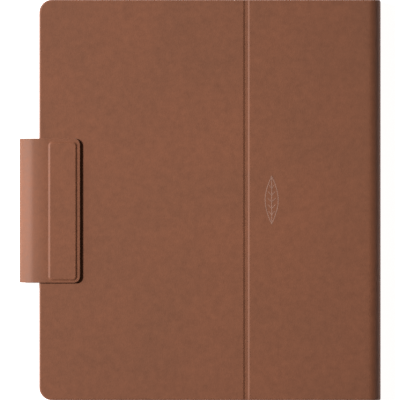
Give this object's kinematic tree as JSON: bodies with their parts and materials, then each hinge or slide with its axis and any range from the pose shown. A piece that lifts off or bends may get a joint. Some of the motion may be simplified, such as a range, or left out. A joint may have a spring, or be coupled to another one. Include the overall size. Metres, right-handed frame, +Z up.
{
  "type": "e-reader in a folio",
  "caption": "Slim e-reader lying screen up inside a closed brown leather folio, with a rounded spine, a scored front cover and a magnetic closing flap.",
  "frame": {"origin": "on the resting surface, at the middle of the closed folio's outline", "axes": "+X from the closing flap to the spine, +Y along the spine to the reader's top edge, +Z up out of the screen"},
  "size_m": [0.2086, 0.231, 0.0139],
  "materials": {
    "cover_leather": "brown embossed leather, fine matt grain",
    "suede_lining": "short-napped brown microsuede",
    "cover_board": "dense grey-brown bookbinding board",
    "magnet": "nickel-plated magnet",
    "screw_steel": "plain steel",
    "shield_can": "satin pressed steel",
    "rear_shell": "soft-touch dark slate plastic",
    "front_frame": "satin dark slate plastic",
    "cover_lens": "etched anti-glare glass",
    "border_mask": "near-black printed border",
    "clear_film": "clear film",
    "epaper": "matt pale grey electronic paper",
    "circuit_board": "green solder mask",
    "chassis": "cast magnesium plate",
    "battery_cell": "wrapped lithium cell",
    "flex_cable": "amber flexible circuit",
    "black_plastic": "black moulded plastic"
  },
  "bodies": {
    "reader": {"back_cover_board": "cover_board", "back_cover_leather": "cover_leather", "back_cover_lining": "suede_lining", "battery_cable": "flex_cable", "battery_left": "battery_cell", "battery_right": "battery_cell", "border_mask": "border_mask", "chassis_plate": "chassis", "cover_lens": "cover_lens", "device_magnet_1": "magnet", "device_magnet_2": "magnet", "device_magnet_3": "magnet", "device_magnet_4": "magnet", "digitizer_board": "circuit_board", "display_cable": "flex_cable", "epaper_panel": "epaper", "flap_anchor_lining": "suede_lining", "folio_magnet_1": "magnet", "folio_magnet_2": "magnet", "folio_magnet_3": "magnet", "folio_magnet_4": "magnet", "frame_screw_1": "screw_steel", "frame_screw_2": "screw_steel", "frame_screw_3": "screw_steel", "frame_screw_4": "screw_steel", "frame_screw_5": "screw_steel", "frame_screw_6": "screw_steel", "front_frame": "front_frame", "light_bar": "circuit_board", "light_guide": "clear_film", "mainboard": "circuit_board", "power_switch": "black_plastic", "processor_shield": "shield_can", "radio_shield": "shield_can", "rear_shell": "rear_shell", "speaker_left": "black_plastic", "speaker_right": "black_plastic", "touch_sensor": "clear_film", "usb_port": "shield_can", "wifi_antenna": "flex_cable"},
    "power_button": {"power_button": "front_frame"},
    "spine": {"spine_leather": "cover_leather", "spine_lining": "suede_lining"},
    "front_narrow": {"front_narrow_leather": "cover_leather", "front_narrow_board": "cover_board", "front_narrow_lining": "suede_lining"},
    "front_wide": {"front_wide_leather": "cover_leather", "front_wide_board": "cover_board", "front_wide_lining": "suede_lining", "wake_magnet": "magnet", "latch_plate": "screw_steel"},
    "flap_side": {"flap_side_leather": "cover_leather", "flap_side_lining": "suede_lining"},
    "flap_tab": {"flap_tab_leather": "cover_leather", "flap_tab_lining": "suede_lining", "tab_stiffener": "cover_board", "tab_magnet_lower": "magnet", "tab_magnet_upper": "magnet"}
  },
  "joints": [
    {"name": "spine_fold", "type": "hinge", "parent": "reader", "child": "spine", "pos_m": [0.10221, 0, 0.00209], "axis": [0, 1, 0], "range_deg": [0, 90]},
    {"name": "front_cover_open", "type": "hinge", "parent": "spine", "child": "front_narrow", "pos_m": [0.10221, 0, 0.00961], "axis": [0, 1, 0], "range_deg": [0, 90]},
    {"name": "cover_crease", "type": "hinge", "parent": "front_narrow", "child": "front_wide", "pos_m": [0.02675, 0, 0.0108], "axis": [0, 1, 0], "range_deg": [0, 130]},
    {"name": "flap_open", "type": "hinge", "parent": "reader", "child": "flap_side", "pos_m": [-0.1025, 0, 0.00179], "axis": [0, -1, 0], "range_deg": [0, 90]},
    {"name": "flap_unfold", "type": "hinge", "parent": "flap_side", "child": "flap_tab", "pos_m": [-0.10148, 0, 0.01053], "axis": [0, -1, 0], "range_deg": [0, 86]},
    {"name": "power_button_press", "type": "slide", "parent": "reader", "child": "power_button", "axis": [0, -1, 0], "range_m": [0, 0.0004], "stiffness_N_per_m": 400}
  ],
  "couplings": [
    {"joint": "front_cover_open", "follows": "spine_fold", "ratio": 1},
    {"joint": "flap_unfold", "follows": "flap_open", "ratio": 0.955}
  ]
}
